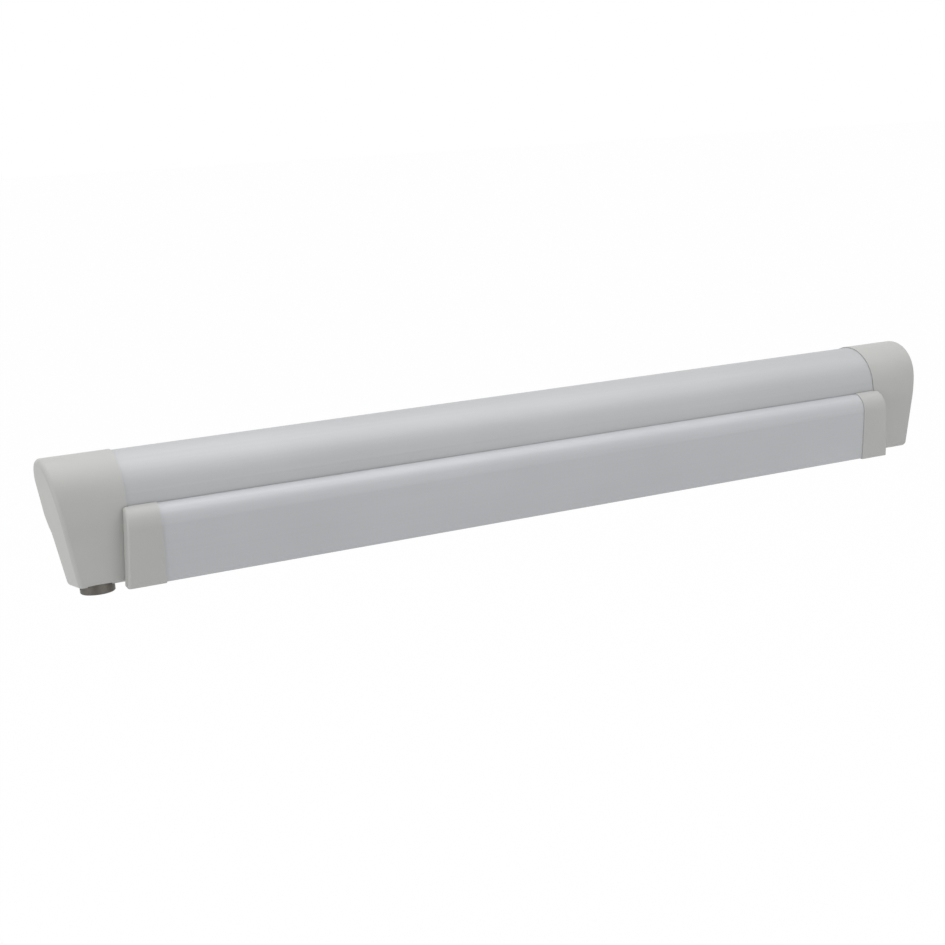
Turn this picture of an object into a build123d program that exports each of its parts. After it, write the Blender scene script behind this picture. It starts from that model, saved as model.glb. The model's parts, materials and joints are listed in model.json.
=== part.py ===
from build123d import *
from math import atan, atan2, cos, degrees, hypot, pi, radians, sin, sqrt, tan
import os

# A cassette awning, closed. Lengths are in millimetres. X runs along the cassette, -Y points away
# from the vehicle and +Z is up. Sections are drawn as (y, z) about the roller axis, and the finished
# pieces are moved so that the origin is the middle of the face that lies on the vehicle.

# Cassette housing
housing_length = 944.0
dome_radius = 46.0
housing_wall = 2.2
back_flat_height = 34.0
front_dome_angle = 167.4
heel_angle = -56.0
front_wall_step = 2.0
chamber_drop = 31.0
lower_back_lean = 0.25
casing_corner = 5.0
heel_radius = 10.0
back_corner = 12.0
lip_bottom = -9.0
lip_bead_radius = 2.0
shelf_front_gap = 0.5
web_thickness = 1.8
web_rise = 38.0
web_front_step = 1.0
ledge_thickness = 3.0
ledge_rise = 7.0
ledge_rear_inset = 2.7
ledge_hole_inset = 12.7
ledge_hole_radius = 3.3
ledge_hole_spacing = 800.0
screw_port_radius = 3.6
screw_port_bore = 2.1
screw_port_slot = 1.6
screw_port_sink = 0.7
screw_port_angles = (140.0, 50.0, -45.0)

# Rear groove for the lips of the wall brackets
groove_centre = 7.0
groove_height = 10.0
groove_depth = 6.0
groove_wall = 2.0

# End caps and side plates
cap_proud = 1.2
cap_wall = 2.6
cap_width = 68.0
cap_lean_down = 0.15
cap_lean_back = 0.02
cap_edge_radius = 5.0
cap_foot_drop = 13.0
seam_gap = 0.15
plate_thickness = 4.0
plate_clearance = 0.4
plate_rim_height = 3.0
plate_rim_width = 2.5
cap_lug_depth = 14.0
cap_lug_height = 12.0
cap_lug_thickness = 9.0
cap_screw_drop = 9.0
cap_screw_reach = 11.0
cap_screw_head = 3.9
cap_screw_head_depth = 1.2
cap_screw_sink = 0.3
cap_arch_rise = 2.0
cap_arch_width = 46.0
cap_arch_depth = 5.0

# Roller and fabric
roller_room = 21.0
roller_tube_wall = 1.5
roller_end_gap = 10.0
keder_groove_radius = 4.2
keder_groove_bore = 3.2
keder_slot = 2.2
keder_groove_rise = 0.6
front_keder_sink = 0.8
front_keder_end = 6.0
fabric_length = 1100.0
fabric_thickness = 0.55
fabric_margin = 12.0
soft_gap = 0.3
plug_depth = 30.0
plug_flange = 2.0
plug_wall = 4.0
plug_rib = 3.0
plug_hub_wall = 2.0
plug_notch = 5.0
drive_shaft_radius = 8.0
shaft_room = 1.0
wheel_seat_radius = 6.0
wheel_seat_flat = 1.0
wheel_seat_reach = 2.0
idler_pin_radius = 6.0
idler_pin_reach = 3.0
bush_radius = 9.0
bush_flange_radius = 12.0
bush_flange = 2.0
running_clearance = 0.05
fit_clearance = 0.1

# Worm gearbox and crank socket
gear_module = 2.0
wheel_teeth = 14
worm_pitch_radius = 7.0
wheel_width = 12.0
gear_backlash = 1.2
gear_root_depth = 1.2
tooth_overlap = 0.5
thread_overlap = 0.3
worm_turns = 2.5
pressure_angle = 20.0
crank_tilt = 6.0
crank_inset = 34.5
gearbox_wall = 3.0
gearbox_room = 1.0
gearbox_end_room = 0.3
gearbox_lug_wall = 1.5
gearbox_flange_radius = 22.0
flange_screw_angles = (45, 115, -45, -100)
flange_head_height = 2.6
cover_screw_angles = (90, -25, -100)
cover_lug_sink = 0.6
cover_head_radius = 2.8
cover_head_height = 2.2
cover_recess = 1.5
worm_shaft_radius = 4.5
worm_bearing_length = 8.0
socket_mouth_drop = 12.0
socket_radius = 17.5
socket_length = 15.0
socket_neck_radius = 11.5
socket_neck_length = 14.5
socket_bore = 12.5
socket_bore_depth = 12.0
socket_inner_bore = 7.5
socket_inner_depth = 8.2
socket_hub_depth = 7.5
socket_pin_radius = 2.0
socket_side_hole = 1.8
socket_side_turn = 10.0
socket_mouth_chamfer = 0.8
socket_rim_chamfer = 1.0
socket_pin_rise = 1.2
socket_pin_sink = 0.5
socket_gap = 0.7

# Folding arms
arm_depth = 20.0
arm_height = 28.0
arm_gap = 2.0
arm_wall = 2.0
arm_corner = 6.0
arm_back_gap = 1.5
arm_front_gap = 1.5
shoulder_inset = 46.0
elbow_from_middle = 38.0
pivot_pin_radius = 4.0
pin_end_chamfer = 0.8
bracket_screw_radius = 3.0
bracket_screw_head = 5.8
bracket_screw_head_depth = 3.0
bracket_screw_room = 0.3
bracket_screw_key = 2.0
bracket_screw_spacing = 12.0
pin_head_radius = 6.0
pin_head_height = 1.5
knuckle_radius = 10.0
knuckle_reach = 18.0
knuckle_side_step = 1.0
ear_radius = 10.6
ear_thickness = 6.0
ear_clearance = 0.3
elbow_reach = 30.0
elbow_swing_radius = 10.6
elbow_parting = 0.6
elbow_lug_root = 0.5
spigot_length = 24.0
arm_collar = 3.0
spring_radius = 7.6
spring_wall = 1.8
spring_start = 60.0
spring_end_gap = 36.0
bracket_wall = 5.0
bracket_wall_step = 1.0
bracket_foot = 24.0
wrist_foot = 34.0
wrist_foot_thickness = 5.0
wrist_foot_inset = 3.0
wrist_wall = 4.0
wrist_wall_step = 0.5
wrist_rear_inset = 1.0
wrist_screw_edge = 1.0
wrist_web_gap = 0.6
seat_gap = 0.1

# Lead rail and its caps
lead_inset = 29.0
lead_top = -1.7
lead_roll_bottom = -21.5
lead_depth = 17.0
lead_bottom_drop = 3.8
lead_bottom_lean = 2.2
lead_wall = 1.8
lead_gap = 0.6
lead_channel_rise = 30.8
lead_shelf_gap = 3.0
lead_step_rise = 2.0
lead_cap_length = 36.5
lead_cap_lean = 0.06
lead_cap_proud = 1.0
lead_cap_wall = 1.6
lead_cap_edge = 3.0
lead_cap_step = 0.5
front_keder_drop = 30.0

# Support legs, stowed in the lead rail
leg_height = 22.0
leg_wall = 1.4
leg_corner = 3.0
leg_pivot_inset = 15.0
leg_pivot_rise = 14.8
leg_pin_radius = 3.0
leg_knuckle_radius = 10.5
leg_knuckle_reach = 16.0
leg_inner_end = 50.0
leg_tube_clearance = 0.25
leg_inner_gap = 12.0
leg_bush_length = 18.0
leg_bush_wall = 1.0
leg_bush_flange = 2.0
leg_lane_gap = 0.5
leg_middle_gap = 1.4
leg_foot_length = 22.0
leg_foot_gap = 2.0
leg_foot_neck = 6.0
leg_foot_hole = 3.0
leg_inner_wall = 1.2
leg_cheek = 1.7

# Screws
screw_head_height = 3.0
side_screw_length = 16.0
thread_allowance = 0.5

# How far a cut runs past the face it opens, or a joined piece into the one it joins
overcut = 1.0

# How close a corner has to lie to the place where it is looked for
near = 0.01

# Derived sizes
half_length = housing_length / 2
roller_tube_radius = dome_radius - roller_room
axis_to_back = sqrt(dome_radius**2 - (back_flat_height / 2) ** 2)
front_wall_y = -dome_radius - front_wall_step
casing_bottom = -dome_radius - chamber_drop
below_all = 2 * casing_bottom
web_top = casing_bottom + web_rise
web_bottom = web_top - web_thickness
ledge_z = casing_bottom + ledge_rise
ledge_hole_y = axis_to_back - ledge_hole_inset
shelf_top = casing_bottom + housing_wall
arm_z = (web_bottom + shelf_top) / 2
chamber_half = (web_bottom - shelf_top) / 2
heel_y = dome_radius * cos(radians(heel_angle))
heel_z = dome_radius * sin(radians(heel_angle))
back_wall_inside = housing_wall * sqrt(1 + lower_back_lean**2) + arm_back_gap
arm_rear = heel_y - lower_back_lean * (heel_z - arm_z + arm_height / 2) - back_wall_inside
upper_arm_y = arm_rear - arm_depth / 2
shelf_front = upper_arm_y - arm_depth / 2 - shelf_front_gap
web_front = shelf_front - web_front_step
fore_arm_y = upper_arm_y - arm_depth - arm_gap
elbow_y = (upper_arm_y + fore_arm_y) / 2
shoulder_x = half_length - shoulder_inset
elbow_x = elbow_from_middle
tube_outer_end = shoulder_x - knuckle_reach
tube_inner_end = elbow_x + elbow_reach
ear_inner = chamber_half - ear_thickness
knuckle_half = ear_inner - ear_clearance
ear_pin_half = chamber_half - pin_head_height - wrist_web_gap - fit_clearance
elbow_ear_inner = arm_height / 2 - ear_thickness
tongue_half = elbow_ear_inner - ear_clearance
lead_half = half_length - lead_inset
lead_front = front_wall_y - lead_depth
lead_bottom = casing_bottom - lead_bottom_drop
lead_channel_top = lead_bottom + lead_channel_rise
lead_rear_upper = front_wall_y - lead_gap
lead_rear_lower = fore_arm_y - arm_depth / 2 - arm_front_gap
lead_shelf_rear = shelf_front - lead_shelf_gap
lead_cap_end = lead_half + lead_cap_length
leg_x = lead_half - leg_pivot_inset
leg_z = lead_bottom + leg_pivot_rise
front_lane_start = lead_front + lead_bottom_lean + lead_wall + leg_lane_gap
rear_lane_end = lead_rear_lower - lead_wall - leg_lane_gap
leg_depth = (rear_lane_end - front_lane_start - leg_middle_gap) / 2
leg_y = front_lane_start + leg_depth / 2
left_leg_y = rear_lane_end - leg_depth / 2
leg_knuckle_thickness = leg_depth - 2 * (leg_cheek + ear_clearance)
wheel_pitch_radius = gear_module * wheel_teeth / 2
gear_centres = wheel_pitch_radius + worm_pitch_radius
bracket_screw_hole = bracket_screw_radius + bracket_screw_room
lead_of_worm = pi * gear_module
gear_x = -(half_length + cap_width - crank_inset)
plate_outer = half_length + plate_thickness
roll_radius = sqrt(roller_tube_radius**2 + fabric_length * fabric_thickness / pi)


def on_circle(radius, angle):
    return (radius * cos(radians(angle)), radius * sin(radians(angle)))


def bar(section, start, end):
    """A section drawn as (y, z), run along X from start to end."""
    return Pos(start, 0, 0) * extrude(Plane.YZ * section, amount=end - start)


def box_between(low, high):
    """A box from its lowest to its highest corner."""
    size = [b - a for a, b in zip(low, high)]
    middle = [(a + b) / 2 for a, b in zip(low, high)]
    return Pos(*middle) * Box(*size)


def rectangle_between(low, high):
    """A rectangle in a section, from its lowest to its highest corner."""
    middle = Pos((low[0] + high[0]) / 2, (low[1] + high[1]) / 2)
    return middle * Rectangle(high[0] - low[0], high[1] - low[1])


def along_x(radius, start, end, y=0.0, z=0.0):
    """A round bar along X."""
    return bar(Pos(y, z) * Circle(radius), start, end)


def along_z(radius, start, end, x, y):
    """A round bar along Z."""
    return Pos(x, y, start) * Cylinder(radius, end - start, align=(Align.CENTER, Align.CENTER, Align.MIN))


def along_y(radius, start, end, x, z):
    """A round bar along Y."""
    upright = Cylinder(radius, end - start, align=(Align.CENTER, Align.CENTER, Align.MIN))
    return Pos(x, start, z) * Rot(-90, 0, 0) * upright


# Cassette housing
def lower_back_y(z):
    """The outer face of the lower back wall at a height."""
    return heel_y - lower_back_lean * (heel_z - z)


def corners_near(face, point):
    """The corner of a face that lies at a point."""
    return [v for v in face.vertices() if hypot(v.X - point[0], v.Y - point[1]) < near]


def casing_face(grow=0.0, foot_drop=0.0):
    """The outline that the housing, the side plates and the end caps share, grown or shrunk.

    With a foot drop, the floor slopes down from the front to the rear, as it does on the caps.
    """
    dome_end = on_circle(dome_radius, front_dome_angle)
    half_turn = radians(180 - front_dome_angle) / 2
    wall_top = (front_wall_y, dome_end[1] - (dome_end[0] - front_wall_y) / tan(half_turn))
    heading = (-sin(2 * half_turn), -cos(2 * half_turn))
    front_corner = (front_wall_y, casing_bottom)
    rear_corner = (lower_back_y(casing_bottom - foot_drop), casing_bottom - foot_drop)
    heel = (heel_y, heel_z)
    dome_middle = on_circle(dome_radius, (heel_angle + front_dome_angle) / 2)
    dome = ThreePointArc(heel, dome_middle, dome_end)
    front = TangentArc(dome_end, wall_top, tangent=heading)
    body = Polyline(wall_top, front_corner, rear_corner, heel)
    face = make_face(dome + front + body)
    for corner in (front_corner, rear_corner):
        face = fillet(corners_near(face, corner), casing_corner)
    face = fillet(corners_near(face, heel), heel_radius)
    if grow:
        face = offset(face, grow)
    back_y = axis_to_back + min(grow, 0)
    face -= rectangle_between((back_y, -2 * dome_radius), (back_y + dome_radius, 2 * dome_radius))
    back_corners = [v for v in face.vertices() if abs(v.X - back_y) < near]
    return fillet(back_corners, back_corner)


def screw_port_places():
    """The screw ports: three under the dome and one on the front edge of the web."""
    reach = dome_radius - housing_wall - screw_port_radius + screw_port_sink
    places = [on_circle(reach, angle) for angle in screw_port_angles]
    places.append((web_front, web_top + screw_port_radius - screw_port_sink))
    return places


def housing_section():
    casing = casing_face()
    section = casing - casing_face(-housing_wall)
    low = (front_wall_y - overcut, casing_bottom - overcut)
    section -= rectangle_between(low, (shelf_front, lip_bottom))
    section += Pos(front_wall_y + lip_bead_radius, lip_bottom) * Circle(lip_bead_radius)
    web_rear = lower_back_y(web_bottom) - housing_wall / 2
    section += rectangle_between((web_front, web_bottom), (web_rear, web_top))
    ledge_start = lower_back_y(ledge_z) - housing_wall / 2
    ledge_end = axis_to_back - ledge_rear_inset
    section += rectangle_between((ledge_start, ledge_z - ledge_thickness), (ledge_end, ledge_z))
    groove_front = axis_to_back - groove_depth
    half = groove_height / 2
    section += rectangle_between(
        (groove_front - groove_wall, groove_centre - half - groove_wall),
        (axis_to_back - housing_wall / 2, groove_centre + half + groove_wall),
    )
    section -= rectangle_between(
        (groove_front, groove_centre - half), (axis_to_back + overcut, groove_centre + half)
    )
    for y, z in screw_port_places():
        section += Pos(y, z) * Circle(screw_port_radius)
    for y, z in screw_port_places():
        section -= Pos(y, z) * Circle(screw_port_bore)
        inward = degrees(atan2(-z, -y))
        slot = Pos(screw_port_radius, 0) * Rectangle(2 * screw_port_radius, screw_port_slot)
        section -= Pos(y, z) * Rot(0, 0, inward) * slot
    return section


def cassette_housing():
    housing = bar(housing_section(), -half_length, half_length)
    for x in (-ledge_hole_spacing / 2, ledge_hole_spacing / 2):
        housing -= along_z(ledge_hole_radius, below_all, ledge_z + overcut, x, ledge_hole_y)
    top = shelf_top + overcut
    for x in bracket_screw_places():
        for side in (-1, 1):
            housing -= along_z(bracket_screw_hole, below_all, top, side * x, upper_arm_y)
    return housing


# Side plates
def side_plate(shaft_hole):
    """The right side plate: a plate with a raised rim, screwed to the end of the housing."""
    inset = cap_proud - cap_wall - plate_clearance
    outline = casing_face(inset)
    plate = bar(outline, half_length, plate_outer)
    rim = outline - casing_face(inset - plate_rim_width)
    plate += bar(rim, plate_outer, plate_outer + plate_rim_height)
    upper_lug, lower_lug = cap_lugs()
    plate += upper_lug + lower_lug
    through = (half_length - overcut, plate_outer + overcut)
    plate -= along_x(shaft_hole, *through)
    head_room = screw_port_radius + plate_clearance
    rim_end = plate_outer + plate_rim_height + overcut
    for y, z in screw_port_places():
        plate -= along_x(screw_port_bore + plate_clearance, *through, y, z)
        plate -= along_x(head_room, plate_outer, rim_end, y, z)
    for screw in cap_screw_bores(screw_port_bore):
        plate -= screw
    return plate


def cap_floor(y):
    """The height of the end cap's sloping floor, before it is grown or shrunk."""
    run = lower_back_y(casing_bottom - cap_foot_drop) - front_wall_y
    return casing_bottom - cap_foot_drop * (y - front_wall_y) / run


def cap_lugs():
    """Two blocks on the side plate that take the screws of the end cap."""
    inner = cap_proud - cap_wall - plate_clearance
    rear = axis_to_back + inner
    floor = cap_floor(-cap_lug_height / 2) - inner
    reach = plate_outer + cap_lug_depth
    half = cap_lug_height / 2
    upper = box_between(
        (plate_outer, rear - cap_lug_thickness, -cap_screw_drop - half), (reach, rear, -cap_screw_drop + half)
    )
    lower = box_between((plate_outer, -half, floor), (reach, half, casing_bottom + cap_lug_thickness))
    return upper, lower


def cap_screw_x():
    return plate_outer + cap_lug_depth / 2


def cap_screw_bores(radius):
    """The bores for the end cap screws, along Y at the back and along Z at the bottom."""
    x = cap_screw_x()
    reach = cap_screw_reach + overcut
    back = along_y(radius, axis_to_back - reach, axis_to_back + overcut, x, -cap_screw_drop)
    under = along_z(radius, below_all, cap_floor(0) + reach, x, 0)
    return back, under


def side_plate_screw(y, z):
    head = along_x(screw_port_radius, plate_outer + fit_clearance, plate_outer + screw_head_height, y, z)
    inner_end = plate_outer - side_screw_length
    shank = along_x(screw_port_bore - fit_clearance, inner_end, plate_outer + overcut, y, z)
    return head + shank


# End caps
def cap_side_plane(inset):
    """The outer side of the right cap: it leans inward downwards and to the front."""
    middle = (half_length + cap_width - inset, 0, 0)
    return Plane(origin=middle, z_dir=(1, -cap_lean_back, -cap_lean_down))


def cap_form(grow, inset, edge_radius):
    longest = half_length + cap_width + 2 * cap_lean_down * dome_radius + 2 * edge_radius
    body = bar(casing_face(grow, cap_foot_drop), half_length + seam_gap, longest)
    body = split(body, bisect_by=cap_side_plane(inset), keep=Keep.BOTTOM)
    side = body.faces().sort_by(Axis.X)[-1]
    return fillet(side.edges(), edge_radius)


def end_cap():
    """The right end cap, a moulded shell that is open towards the housing."""
    shell = cap_form(cap_proud, 0, cap_edge_radius)
    shell -= cap_form(cap_proud - cap_wall, cap_wall, cap_edge_radius - cap_wall)
    for bore in cap_screw_bores(screw_port_bore):
        shell -= bore
    top = axis_to_back - cap_screw_sink
    x = cap_screw_x()
    room = cap_screw_head + fit_clearance
    recess = along_y(room, top, axis_to_back + overcut, x, -cap_screw_drop)
    seat = along_z(screw_port_radius + fit_clearance, below_all, cap_screw_seat(), x, 0)
    return shell - cap_screw_cone(fit_clearance) - recess - seat


def cap_screw_seat():
    """The flat under the sloping floor that the lower screw's head bears on."""
    return cap_floor(-screw_port_radius) - cap_proud


def crank_cut():
    """What the crank socket and its arched relief take out of the left end cap."""
    radius = socket_radius + socket_gap
    top = socket_mouth() + socket_length + socket_gap
    socket_space = crank_place() * Pos(0, 0, top) * Cylinder(
        radius, 4 * socket_length, align=(Align.CENTER, Align.CENTER, Align.MAX)
    )
    arch_radius = cap_arch_width**2 / 8 / cap_arch_rise + cap_arch_rise / 2
    arch_top = casing_bottom - cap_proud + cap_arch_rise
    low, high = front_wall_y - cap_arch_depth, front_wall_y + cap_arch_depth
    arch = along_y(arch_radius, low, high, gear_x, arch_top - arch_radius)
    return socket_space + arch


def cap_screw_cone(grow):
    """The countersunk head at the back of the cap, or the room for it."""
    top = cap_screw_head + grow
    bottom = screw_port_bore - fit_clearance + grow
    place = Pos(cap_screw_x(), axis_to_back - cap_screw_sink, -cap_screw_drop) * Rot(90, 0, 0)
    return place * Cone(top, bottom, cap_screw_head_depth, align=(Align.CENTER, Align.CENTER, Align.MIN))


def end_cap_screw_pair():
    x = cap_screw_x()
    radius = screw_port_bore - fit_clearance
    inner_end = axis_to_back - cap_screw_reach
    back_shank = along_y(radius, inner_end, axis_to_back - cap_screw_sink, x, -cap_screw_drop)
    bottom = cap_screw_seat()
    under_shank = along_z(radius, bottom - overcut, cap_floor(0) + cap_screw_reach, x, 0)
    under_head = along_z(screw_port_radius, bottom - screw_head_height, bottom - fit_clearance, x, 0)
    return [back_shank + cap_screw_cone(0), under_shank + under_head]


# Roller and fabric
def keder_place():
    return (0.0, roller_tube_radius - keder_groove_radius + keder_groove_rise)


def roller_tube():
    length = half_length - roller_end_gap
    y, z = keder_place()
    section = Circle(roller_tube_radius) - Circle(roller_tube_radius - roller_tube_wall)
    section += Pos(y, z) * Circle(keder_groove_radius) & Circle(roller_tube_radius)
    section -= Pos(y, z) * Circle(keder_groove_bore)
    section -= Pos(y, z + keder_groove_radius) * Rectangle(keder_slot, 2 * keder_groove_radius)
    return bar(section, -length, length)


def plug_body(inner_end, outer_end):
    """A plug that fills the roller tube's end, with a notch for the fabric groove."""
    y, z = keder_place()
    fitted = roller_tube_radius - roller_tube_wall - fit_clearance
    section = Circle(fitted) - Circle(fitted - plug_wall)
    for angle in (0, 60, 120):
        section += Rot(0, 0, angle) * Rectangle(2 * fitted - plug_wall, plug_rib)
    section += Circle(drive_shaft_radius + plug_hub_wall)
    section -= Pos(y, z) * Circle(keder_groove_radius + fit_clearance)
    section -= Pos(y, z + keder_groove_radius) * Rectangle(plug_notch, 2 * keder_groove_radius)
    low, high = sorted((inner_end, outer_end))
    return bar(section, low, high)


def drive_plug():
    end = -(half_length - roller_end_gap)
    plug = plug_body(end, end + plug_depth)
    plug += along_x(roller_tube_radius, end - plug_flange, end - seat_gap)
    plug += along_x(drive_shaft_radius, end - plug_flange, end + overcut)
    wheel_inner = gear_x + wheel_width / 2
    plug += along_x(drive_shaft_radius, wheel_inner + overcut, end)
    wheel_end = gear_x - wheel_width / 2 - wheel_seat_reach
    return plug + bar(wheel_seat(0), wheel_end, wheel_inner + wheel_seat_reach)


def wheel_seat(grow):
    """The round seat of the worm wheel, with a flat on it that drives the wheel's bore."""
    radius = wheel_seat_radius + grow
    return Circle(radius) & Pos(0, -wheel_seat_flat) * Rectangle(4 * radius, 2 * radius)


def idler_plug():
    end = half_length - roller_end_gap
    plug = plug_body(end - plug_depth, end)
    plug += along_x(roller_tube_radius, end + seat_gap, end + plug_flange)
    plug += along_x(drive_shaft_radius, end - overcut, end + plug_flange)
    plug += along_x(idler_pin_radius, end, plate_outer + bush_flange + idler_pin_reach)
    return plug


def roller_bush():
    """The plain bearing in the right side plate."""
    bush = along_x(bush_radius - running_clearance, half_length, plate_outer)
    bush += along_x(bush_flange_radius, plate_outer, plate_outer + bush_flange)
    through = (half_length - overcut, plate_outer + bush_flange + overcut)
    return bush - along_x(idler_pin_radius + running_clearance, *through)


def fabric_roll():
    half = half_length - roller_end_gap - fabric_margin
    section = Circle(roll_radius) - Circle(roller_tube_radius + soft_gap)
    return bar(section, -half, half)


# Worm gearbox
def crank_place():
    """The frame of the crank axis: its Z runs up the worm shaft and its Y points at the wheel."""
    tilt = radians(crank_tilt)
    return Pos(gear_x, -gear_centres * cos(tilt), gear_centres * sin(tilt)) * Rot(-crank_tilt, 0, 0)


def socket_mouth():
    """The height of the socket's mouth along the crank axis."""
    tilt = radians(crank_tilt)
    return (casing_bottom - socket_mouth_drop - gear_centres * sin(tilt)) / cos(tilt)


def rack_half_width(height):
    """Half the width of a worm thread or wheel tooth at a height above its pitch line."""
    return lead_of_worm / 4 - gear_backlash / 4 - height * tan(radians(pressure_angle))


def worm_wheel():
    """A helical wheel with a gap where the worm's thread stands at rest."""
    tip = wheel_pitch_radius + gear_module
    root = wheel_pitch_radius - gear_root_depth * gear_module
    steps = (root - tooth_overlap, wheel_pitch_radius, tip)
    flank = [(radius, rack_half_width(radius - wheel_pitch_radius) / radius) for radius in steps]
    outline = [(radius * cos(angle), radius * sin(angle)) for radius, angle in flank]
    outline += [(radius * cos(angle), -radius * sin(angle)) for radius, angle in reversed(flank)]
    tooth = make_face(Polyline(*outline, close=True))
    step = 360 / wheel_teeth
    section = Circle(root)
    for index in range(wheel_teeth):
        section += Rot(0, 0, 180 - crank_tilt + (index + 0.5) * step) * tooth
    helix_angle = atan(lead_of_worm / (2 * pi * worm_pitch_radius))
    twist = degrees(wheel_width * tan(helix_angle) / wheel_pitch_radius)
    blank = Plane.YZ * Rot(0, 0, -twist / 2) * section
    wheel = Solid.extrude_linear_with_rotation(blank.face(), (0, 0, 0), (wheel_width, 0, 0), twist)
    wheel = Pos(gear_x - wheel_width / 2, 0, 0) * wheel
    return wheel - bar(wheel_seat(fit_clearance), gear_x - wheel_width, gear_x + wheel_width)


def worm_thread():
    """The thread, wound about Z, with its middle turn at height 0 on the side of +Y."""
    low = -worm_turns / 2 * lead_of_worm
    path = Helix(lead_of_worm, worm_turns * lead_of_worm, worm_pitch_radius, center=(0, 0, low))
    core = -gear_root_depth * gear_module - thread_overlap
    tip = gear_module
    outline = [
        (core, -rack_half_width(core)),
        (tip, -rack_half_width(tip)),
        (tip, rack_half_width(tip)),
        (core, rack_half_width(core)),
    ]
    profile = Plane.XZ * make_face(Polyline(*outline, close=True))
    return sweep(Pos(worm_pitch_radius, 0, low) * profile, path=path, is_frenet=True)


def worm_shaft():
    core = worm_pitch_radius - gear_root_depth * gear_module
    half_thread = worm_turns * lead_of_worm / 2 + gear_module
    top = half_thread + worm_bearing_length
    bottom = socket_mouth() + socket_length + socket_neck_length - socket_hub_depth
    shaft = Pos(0, 0, bottom) * Cylinder(
        worm_shaft_radius, top - bottom, align=(Align.CENTER, Align.CENTER, Align.MIN)
    )
    worm = Cylinder(core, 2 * half_thread) + worm_thread() + shaft
    hub_pin = socket_pin(socket_pin_heights()[1], socket_pin_radius + fit_clearance, 2 * socket_radius)
    return crank_place() * (worm - hub_pin)


def gearbox_body_shape(wall):
    """The outside of the gearbox for a full wall, or the space inside it for a wall of 0."""
    tip = wheel_pitch_radius + gear_module + gearbox_room
    half_width = wheel_width / 2 + gearbox_room
    worm_space = worm_pitch_radius + gear_module + gearbox_room
    half_thread = worm_turns * lead_of_worm / 2 + gear_module + gearbox_end_room
    chamber = along_x(tip + wall, gear_x - half_width, gear_x + half_width + wall)
    tunnel = crank_place() * Cylinder(worm_space + wall, 2 * half_thread + 2 * wall)
    return chamber, tunnel


def gearbox_housing():
    """A die-cast body around the worm and its wheel, open towards the cover."""
    chamber, tunnel = gearbox_body_shape(gearbox_wall)
    inner_chamber, inner_tunnel = gearbox_body_shape(0)
    half_thread = worm_turns * lead_of_worm / 2 + gear_module + gearbox_end_room
    boss_length = 2 * (half_thread + worm_bearing_length)
    bosses = crank_place() * Cylinder(worm_shaft_radius + gearbox_wall, boss_length)
    neck = along_x(drive_shaft_radius + gearbox_wall + gearbox_room, gear_x, -plate_outer)
    flange_face = -plate_outer - gearbox_wall
    flange = along_x(gearbox_flange_radius, flange_face, -plate_outer)
    for y, z in gearbox_screw_places():
        flange += along_x(screw_port_radius + gearbox_lug_wall, flange_face, -plate_outer, y, z)
    body = chamber + tunnel + bosses + neck + flange
    for y, z in cover_screw_places():
        body += along_x(screw_port_radius, gear_x - wheel_width / 2 - gearbox_room, gear_x, y, z)
    body -= inner_chamber + inner_tunnel
    body -= crank_place() * Cylinder(worm_shaft_radius + running_clearance, boss_length + 2 * overcut)
    inner_end = -plate_outer + overcut
    body -= along_x(drive_shaft_radius + running_clearance, gear_x, inner_end)
    for y, z in gearbox_screw_places():
        bore = screw_port_bore + 2 * fit_clearance
        body -= along_x(bore, flange_face - screw_port_radius, inner_end, y, z)
    for y, z in cover_screw_places():
        body -= along_x(screw_port_bore - thread_allowance, gear_x - wheel_width, gear_x - overcut, y, z)
    return body


def gearbox_screw_places():
    reach = gearbox_flange_radius + gearbox_lug_wall
    return [on_circle(reach, angle) for angle in flange_screw_angles]


def cover_screw_places():
    reach = wheel_pitch_radius + gear_module + gearbox_room + screw_port_radius - cover_lug_sink
    return [on_circle(reach, angle) for angle in cover_screw_angles]


def gearbox_cover():
    inner = gear_x - wheel_width / 2 - gearbox_room - seat_gap
    outer = inner - gearbox_wall
    cover = along_x(wheel_pitch_radius + gear_module + gearbox_room + gearbox_wall, outer, inner)
    for y, z in cover_screw_places():
        cover += along_x(screw_port_radius, outer, inner, y, z)
    cover -= along_x(wheel_seat_radius + shaft_room, inner - cover_recess, inner + overcut)
    worm_space = worm_pitch_radius + gear_module + gearbox_room
    cover -= crank_place() * Cylinder(worm_space + gearbox_wall + seat_gap, 4 * worm_space)
    hole = cover_screw_radius() + 3 * fit_clearance
    for y, z in cover_screw_places():
        cover -= along_x(hole, outer - overcut, inner + overcut, y, z)
    return cover


def cover_screw_radius():
    return screw_port_bore - thread_allowance - fit_clearance


def gearbox_screws():
    """Four screws through the flange into the side plate, and three through the cover."""
    screws = []
    face = -plate_outer - gearbox_wall
    head_radius = screw_port_radius - 2 * fit_clearance
    for y, z in gearbox_screw_places():
        shank = along_x(screw_port_bore - fit_clearance, face - overcut, -half_length - overcut, y, z)
        head = along_x(head_radius, face - flange_head_height, face - fit_clearance, y, z)
        screws.append(shank + head)
    face = gear_x - wheel_width / 2 - gearbox_room - seat_gap - gearbox_wall
    for y, z in cover_screw_places():
        shank = along_x(cover_screw_radius(), face - overcut, gear_x - 2 * overcut, y, z)
        head = along_x(cover_head_radius, face - cover_head_height, face - fit_clearance, y, z)
        screws.append(shank + head)
    return screws


def crank_round(radius, low, high):
    """A round bar on the crank axis, between two heights above the socket's mouth."""
    upright = Cylinder(radius, high - low, align=(Align.CENTER, Align.CENTER, Align.MIN))
    return Pos(0, 0, socket_mouth() + low) * upright


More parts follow.
